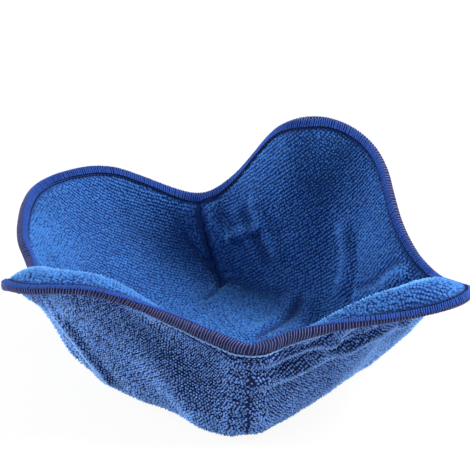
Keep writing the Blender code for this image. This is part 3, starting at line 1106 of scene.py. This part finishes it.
        # Painted shadow below the band: the loops just below it are painted darker.
        at_edge = self.edge_painted_shadow * hump(below - self.bare_edge, self.edge_painted_shadow_reach)
        frames = {
            "place": blend(top),
            "normal": normal,
            "along": along,
            "across": np.cross(normal, along),
            "stretch": np.clip(np.stack([length, area / length], axis=1), *self.stretch_range),
            "height": self.least_height + (1 - self.least_height) * height,
            # Painted shade: the loops beside a seam, and below the band, are painted darker.
            "shaded": hump(to_seam, self.seam_painted_shade_reach) + at_edge,
            # Painted shade in the creases: how much darker each loop's tone is painted.
            "creased": blend(form.own_painted_shades[self.side].reshape(-1)),
            "lobe": corner[:, 0] // (columns * rows),
        }
        return {name: values[standing] for name, values in frames.items()}

    def build_pile(self, finish: PileFinish, slot: str) -> list[bpy.types.Object]:
        """The loops, as one piece for each lobe and its quarter of the base.

        They are shaded partly as the cloth that they stand on, since their fibres lie every way.
        """
        rng = np.random.default_rng(self.seed)
        frames = self.loop_frames(rng)
        count = len(frames["place"])
        template = bmesh.new()
        bmesh.ops.create_uvsphere(template, u_segments=4, v_segments=2, radius=1.0)
        corners = np.array([vert.co for vert in template.verts])
        faces = np.array([[vert.index for vert in face.verts] for face in template.faces])
        template.free()

        turn = rng.normal(0, self.turn_spread, count)
        size = rng.uniform(*self.size_range, count)
        lean = rng.normal(0, self.lean_spread, (count, 2))
        tall = frames["height"] * rng.uniform(*self.height_range, count)
        tone = np.clip(rng.normal(0.5, self.tone_spread, count), 0, 1)
        # Painted shade: each loop's tone is painted darker beside the seams, below the band and in the
        # creases.
        tone = tone - self.seam_painted_shade * frames["shaded"] - frames["creased"]
        along = frames["along"] * np.cos(turn)[:, None] + frames["across"] * np.sin(turn)[:, None]
        across = np.cross(frames["normal"], along)
        tip = unit(frames["normal"] + frames["along"] * lean[:, :1] + frames["across"] * lean[:, 1:])
        middle = frames["place"] + frames["normal"] * ((self.loop_height / 2 - self.sunk) * tall)[:, None]
        spread = [
            along * (self.loop_length / 2 * size * frames["stretch"][:, 0])[:, None],
            across * (self.loop_width / 2 * size * frames["stretch"][:, 1])[:, None],
            tip * (self.loop_height / 2 * tall + self.sunk)[:, None],
        ]
        places = middle[:, None] + sum(corners[None, :, k, None] * spread[k][:, None] for k in range(3))
        places[..., 2] = np.maximum(places[..., 2], 0)
        rounded = unit(places - middle[:, None])
        cloth = frames["normal"][:, None]
        directions = unit(rounded * (1 - self.normal_share) + cloth * self.normal_share)
        pile = []
        material = finish.material()
        for k, lobe in enumerate(LOBES):
            own = frames["lobe"] == k
            here = places[own]
            total = len(here)
            mesh = bpy.data.meshes.new(f"{self.side.value}_pile_{lobe.name}")
            every = (faces[None] + (np.arange(total) * len(corners))[:, None, None]).reshape(-1, 3)
            mesh.from_pydata(here.reshape(-1, 3), [], every)
            # A painted highlight: the points towards each loop's tip get a lighter colour.
            tips = np.tile(np.maximum(corners[:, 2], 0), total)
            for name, values in (("tone", np.repeat(tone[own], len(corners))), ("tip", tips)):
                mesh.attributes.new(name, "FLOAT", "POINT").data.foreach_set("value", values)
            mesh.shade_smooth()
            mesh.normals_split_custom_set_from_vertices(directions[own].reshape(-1, 3))
            piece = linked(mesh.name, mesh)
            dress(piece, material, slot)
            log.info("%s: %d loops", piece.name, total)
            pile.append(piece)
        return pile


@dataclass
class Edge:
    """The overlocked edge: a bed of thread round it, the wraps over that, and the needle line under it.

    The flank gives the shares of the band's reach at which its section passes the cloth. The crown gives how
    far out and up the section then goes over the edge, as shares of the half thickness and of its rise.
    """

    form: ClothForm
    bed_thickness: float = 0.0003
    clearance: float = 0.0002
    flank: tuple[float, ...] = (1.0, 0.66, 0.33, 0.05)
    crown: tuple[tuple[float, float], ...] = ((0.78, 0.75), (0.30, 1.35))
    wrap_pitch: float = 0.00130
    wrap_radius: float = 0.00022
    wrap_slant: float = 0.0009
    wrap_rise: float = 0.35
    wrap_seed: int = 5
    pitch_jitter: float = 0.12
    slant_jitter: float = 0.00006
    path_jitter: float = 0.00005
    close_pitch: float = 0.00105
    close_radius: float = 0.00043
    loose_place: float = 0.42
    loose_columns: int = 2
    loose_samples: int = 13
    loose_lift: float = 0.0022
    loose_width: float = 1.1
    loose_drop: tuple[float, float, float] = (0, -0.0015, -0.0042)
    needle_depth: float = 0.0046
    needle_radius: float = 0.00048
    needle_stitch: float = 0.0026
    needle_samples: int = 6
    needle_lift: float = 0.0007
    needle_dip: float = -0.0001
    needle_dip_reach: float = 0.22
    hole_gap: float = 0.0008
    hole_lift: float = 0.0006
    hole_pitch: float = 0.0019
    hole_reach: float = 0.3
    hole_radius: float = 0.00034

    def section(self, lift: float) -> tuple[np.ndarray, np.ndarray]:
        """The path over the edge from the outer side to the inner.

        Args:
            lift: how far it stands off the cloth.

        Returns:
            Its points for every column round the rim, and how far along its width each point is, from 0 to 1.
        """
        form = self.form
        points, normals = form.closed(form.points), form.closed(form.normals)
        depth, kept = form.closed(form.depth), form.closed(form.kept)
        thick = form.wadding_thickness / 2 * kept + form.layer_gap + form.cloth_thickness * kept
        up = unit(points[:, 0] - points[:, 2])
        rise = self.clearance + lift
        halves = []
        for side in Side:
            reach = form.band_reach(side)
            half = []
            for i in range(len(points)):
                wanted = np.array(self.flank) * reach[i]
                away = (np.interp(wanted, depth[i], thick[i]) + lift)[:, None]
                flank = read_at(wanted, depth[i], points[i])
                flank += side.inward * read_at(wanted, depth[i], normals[i]) * away
                out = side.inward * normals[i, 0] * (thick[i, 0] + lift)
                crown = [points[i, 0] + out * level + up[i] * rise * upward for level, upward in self.crown]
                half.append([*flank, *crown])
            halves.append(np.array(half))
        path = np.concatenate([halves[0], halves[1][:, ::-1]], axis=1)
        return path, np.linspace(0, 1, path.shape[1])

    def build_bed(self) -> bpy.types.Object:
        """The looper threads that lie close over the edge."""
        path, _ = self.section(self.bed_thickness)
        bed = grid_sheet("overlock_bed", looped(path)[None])
        thicken(bed, self.bed_thickness)
        dress(bed, BED_THREAD.material(), "overlock_thread", "overlock_band")
        return bed

    def build_wraps(self, side: Side, finish: ThreadFinish) -> bpy.types.Object:
        """The thread that wraps the edge on one side, in short slanted stitches.

        Args:
            side: the outer one's stitches stand apart and reach over the edge; the inner one's lie close.
            finish: their thread.

        Returns:
            The new piece; the outer one has a loose loop of thread under the front left tip.
        """
        rng = np.random.default_rng(self.wrap_seed)
        outer = side is Side.OUTER
        radius = self.wrap_radius if outer else self.close_radius
        pitch = self.wrap_pitch if outer else self.close_pitch
        path, share = self.section(self.bed_thickness + radius * self.wrap_rise)
        crest = path.shape[1] // 2
        used = slice(0, crest + 2) if outer else slice(crest + 1, None)
        ring, share = looped(path[:, used]), share[used]
        lengths = lengths_along(ring[:, -1] if outer else ring[:, 0])
        count = int(lengths[-1] / pitch)
        jitter = rng.uniform(-self.pitch_jitter, self.pitch_jitter, count)
        starts = (np.arange(count) + jitter) * lengths[-1] / count
        index = np.arange(ring.shape[1])
        wraps = []
        for start in starts:
            slants = start + self.wrap_slant * (np.abs(share - 0.5) * 2) * np.sign(share - 0.5)
            slants = slants + rng.normal(0, self.slant_jitter) + rng.normal(0, self.path_jitter, len(share))
            at = np.interp(slants % lengths[-1], lengths, np.arange(len(lengths)))
            low = np.minimum(at.astype(int), len(ring) - 2)
            part = (at - low)[:, None]
            wraps.append(ring[low, index] * (1 - part) + ring[low + 1, index] * part)
        if outer:
            wraps.append(self.loose_loop())
        stitches = thread(f"overlock_{side.value}_wraps", wraps, radius)
        dress(stitches, finish.material(), "overlock_thread")
        return stitches

    def loose_loop(self) -> np.ndarray:
        """A short loop of thread that has come loose under the front left tip."""
        k, column = lobe_number("front_left"), int(self.loose_place * self.form.columns)
        start, end = (
            self.form.points[k, c, 1] - self.form.normals[k, c, 1] * self.loose_lift
            for c in (column, column + self.loose_columns)
        )
        turn = np.linspace(0, math.pi, self.loose_samples)[:, None]
        across = (start - end) / 2 * np.cos(turn) * self.loose_width
        return (start + end) / 2 + across + np.array(self.loose_drop) * np.sin(turn)

    def line_at(self, side: Side, depth: float | np.ndarray, lift: float) -> np.ndarray:
        """A closed line round the cozy at a depth below its rim, standing this far off a cloth's ground."""
        form = self.form
        depths = form.closed(form.depth)
        wanted = np.broadcast_to(depth, len(depths))
        lifted = form.closed(form.face(side, GROUND_SHARE)) + form.closed(form.normals) * side.inward * lift
        return looped(np.array([read_at(*column) for column in zip(wanted, depths, lifted)]))

    def build_needle_line(self) -> bpy.types.Object:
        """The needle thread outside, in short stitches that dip into the cloth."""
        high = self.line_at(Side.OUTER, self.needle_depth, self.needle_lift)
        low = self.line_at(Side.OUTER, self.needle_depth, self.needle_dip)
        lengths = lengths_along(high)
        count = int(lengths[-1] / self.needle_stitch)
        samples = count * self.needle_samples
        at = np.arange(samples) / samples * lengths[-1]
        dip = hump((at / lengths[-1] * count + 0.5) % 1 - 0.5, self.needle_dip_reach)[:, None]
        path = read_at(at, lengths, high) * (1 - dip) + read_at(at, lengths, low) * dip
        line = thread("needle_stitches", [path], self.needle_radius, closed=True)
        dress(line, NEEDLE_THREAD.material(), "needle_thread", "needle_line")
        return line

    def build_inside_stitches(self) -> bpy.types.Object:
        """The needle thread inside: dark short stitches along the border of the band."""
        row = self.line_at(Side.INNER, self.form.band_reach(Side.INNER) + self.hole_gap, self.hole_lift)
        length = lengths_along(row)[-1]
        count = int(length / self.hole_pitch)
        reach = np.linspace(-self.hole_reach, self.hole_reach, 4) * self.hole_pitch
        paths = [at_lengths(row, (i + 0.5) * length / count + reach) for i in range(count)]
        stitches = thread("inside_needle_stitches", paths, self.hole_radius)
        dress(stitches, DART_THREAD.material(), "needle_thread")
        return stitches


@dataclass
class DartSeams:
    """The stitches that close the darts, outside and inside."""

    form: ClothForm
    start: float = 0.008
    end_height: float = 0.008
    radius: float = 0.00030
    stitch: float = 0.0026
    span: tuple[float, float] = (0.06, 0.94)
    samples: int = 6
    bow: float = 0.0004
    bow_reach: float = 1.3
    sunk: float = 0.0003

    def build(self, side: Side, nodes: tuple[str, ...]) -> bpy.types.Object:
        """The four seams of one cloth, each in short stitches that bow out of it."""
        form = self.form
        face = form.face(side, GROUND_SHARE)
        along = np.linspace(*self.span, self.samples)
        rise = (self.bow * hump(np.linspace(-1, 1, self.samples), self.bow_reach) - self.sunk)[:, None]
        paths = []
        for k in range(len(LOBES)):
            line, normals, depth = face[k, 0], form.normals[k, 0] * side.inward, form.depth[k, 0]
            low_row = int(np.argmax(line[:, 2] < self.end_height))
            stop = depth[low_row] if low_row else depth[-1]
            for i in range(int((stop - self.start) / self.stitch)):
                at = self.start + (i + along) * self.stitch
                paths.append(read_at(at, depth, line) + read_at(at, depth, normals) * rise)
        seams = thread(f"{side.value}_dart_stitches", paths, self.radius)
        dress(seams, DART_THREAD.material(), "dart_thread", *nodes)
        return seams


@dataclass
class Studio:
    """The camera at the photograph's angle, the pale floor and the soft light."""

    yaw: float = math.radians(6.5)
    elevation: float = math.radians(27.0)
    distance: float = 1.0
    pixels_per_metre: float = 2110.0
    target: tuple[float, float, float] = (0.004, 0.0384, 0.045)
    sensor: float = 36.0
    floor_tone: Colour = (0.80, 0.80, 0.80, 1)
    floor_glow: float = 0.92
    world_strength: float = 0.64
    key_power: float = 17.0
    key_place: tuple[float, float, float] = (0.68, -0.12, 0.68)
    rim_power: float = 8.0
    rim_place: tuple[float, float, float] = (-0.75, 0.10, 0.30)
    lamp_size: float = 0.35
    lamp_aim: tuple[float, float, float] = (0, 0, 0.04)

    def place_camera(self) -> None:
        """Adds the camera."""
        forward = Vector(
            (
                math.sin(self.yaw) * math.cos(self.elevation),
                math.cos(self.yaw) * math.cos(self.elevation),
                -math.sin(self.elevation),
            )
        )
        right = Vector((math.cos(self.yaw), -math.sin(self.yaw), 0))
        up = right.cross(forward)
        data = bpy.data.cameras.new("camera")
        data.sensor_width = self.sensor
        data.lens = self.sensor * self.pixels_per_metre * self.distance / PHOTO_SIDE
        camera = linked("camera", data)
        placed = Matrix((right, up, -forward)).transposed().to_4x4()
        placed.translation = Vector(self.target) - forward * self.distance
        camera.matrix_world = placed
        bpy.context.scene.camera = camera

    def lay_floor(self) -> None:
        """Adds the floor, which is white to the camera but for the shadow on it."""
        bm = bmesh.new()
        bmesh.ops.create_grid(bm, x_segments=1, y_segments=1, size=6.0)
        mesh = bpy.data.meshes.new("floor")
        bm.to_mesh(mesh)
        bm.free()
        floor = linked("floor", mesh)
        material = bpy.data.materials.new("floor")
        graph = Graph(material)
        plain = graph.node("ShaderNodeBsdfDiffuse", {"Color": self.floor_tone})
        white = graph.node("ShaderNodeEmission", {"Color": WHITE, "Strength": 1.0})
        amount = self.seen_by_camera(graph) * self.floor_glow
        graph.finish(graph.node("ShaderNodeMixShader", {0: amount, 1: plain, 2: white}))
        floor.data.materials.append(material)

    def seen_by_camera(self, graph: Graph) -> Socket:
        """1 for rays that show the background, and 0 for those that only light the object."""
        camera, glossy, through = (
            graph.node("ShaderNodeLightPath", output=name)
            for name in ("Is Camera Ray", "Is Glossy Ray", "Is Transmission Ray")
        )
        return camera.maths("MAXIMUM", glossy.maths("MAXIMUM", through))

    def light(self) -> None:
        """Adds the even light all round, a soft lamp above and a weaker one from the left."""
        world = bpy.data.worlds.new("studio")
        bpy.context.scene.world = world
        graph = Graph(world)
        lit = graph.node("ShaderNodeBackground", {"Color": WHITE, "Strength": self.world_strength})
        shown = graph.node("ShaderNodeBackground", {"Color": WHITE, "Strength": 1.0})
        graph.finish(graph.node("ShaderNodeMixShader", {0: self.seen_by_camera(graph), 1: lit, 2: shown}))
        self.add_lamp("key", self.key_power, self.key_place)
        self.add_lamp("rim", self.rim_power, self.rim_place)

    def add_lamp(self, name: str, power: float, place: tuple[float, float, float]) -> None:
        """Adds a round soft lamp that is aimed at the cozy."""
        data = bpy.data.lights.new(name, "AREA")
        data.shape = "DISK"
        data.size = self.lamp_size
        data.energy = power
        lamp = linked(name, data)
        lamp.location = place
        aim = Vector(self.lamp_aim) - lamp.location
        lamp.rotation_euler = aim.to_track_quat("-Z", "Y").to_euler()


class BowlCozy:
    """The whole cozy, built layer by layer."""

    def __init__(self) -> None:
        """Works out the cloth's form."""
        self.form = ClothForm()
        self.outer = Cloth(
            self.form,
            Side.OUTER,
            row_pitch=0.00148,
            loop_pitch=0.00132,
            loop_length=0.00132,
            loop_width=0.00118,
            loop_height=0.00150,
            jitter=0.00026,
            bare_edge=0.0029,
            full_edge=0.0054,
            bare_seam=0.0002,
            seam_painted_shade=0.4,
            seam_painted_shade_reach=0.0042,
            filled_from=1.13,
            seed=11,
        )
        self.inner = Cloth(self.form, Side.INNER, seed=23)
        self.edge = Edge(self.form)
        self.darts = DartSeams(self.form)

    def build_wadding(self) -> bpy.types.Object:
        """The sheet of wadding between the cloths."""
        form = self.form
        half = (form.wadding_thickness / 2 * form.kept * WADDING_FACE)[..., None]
        sheet = grid_sheet("wadding_sheet", (form.points + form.normals * half)[:, ::2, ::2])
        thicken(sheet, form.wadding_thickness * form.rim_squeeze * WADDING_FILL)
        dress(sheet, WADDING.material(), "wadding", "wadding")
        return sheet

    def build(self) -> None:
        wadding = self.build_wadding()
        outer = self.outer.build_ground(OUTER_GROUND, "outer_terry", "outer_cover")
        outer_pile = self.outer.build_pile(OUTER_PILE, "outer_terry")
        inner = self.inner.build_ground(INNER_GROUND, "inner_terry", "inner_lining")
        inner_pile = self.inner.build_pile(INNER_PILE, "inner_terry")
        bed = self.edge.build_bed()
        needle = self.edge.build_needle_line()
        holes = self.edge.build_inside_stitches()
        wraps = self.edge.build_wraps(Side.OUTER, WRAP_THREAD)
        close_wraps = self.edge.build_wraps(Side.INNER, CLOSE_THREAD)
        places = ("front", "right", "back", "left")
        cover_seams = self.darts.build(Side.OUTER, tuple(f"cover_dart_thread_{place}" for place in places))
        lining_seams = self.darts.build(Side.INNER, tuple(f"lining_dart_thread_{place}" for place in places))
        pieces = (outer, inner, wadding, bed, wraps, close_wraps, needle, holes, cover_seams, lining_seams)
        for piece in pieces:
            log.info("%s is in place", piece.name)


def main() -> None:
    """Loads the frame, and builds the cozy and the studio."""
    logging.basicConfig(level=logging.INFO, format="%(name)s: %(message)s")
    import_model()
    scene = bpy.context.scene
    scene.view_settings.view_transform = "Standard"
    BowlCozy().build()
    studio = Studio()
    studio.place_camera()
    studio.lay_floor()
    studio.light()


if __name__ == "__main__":
    main()
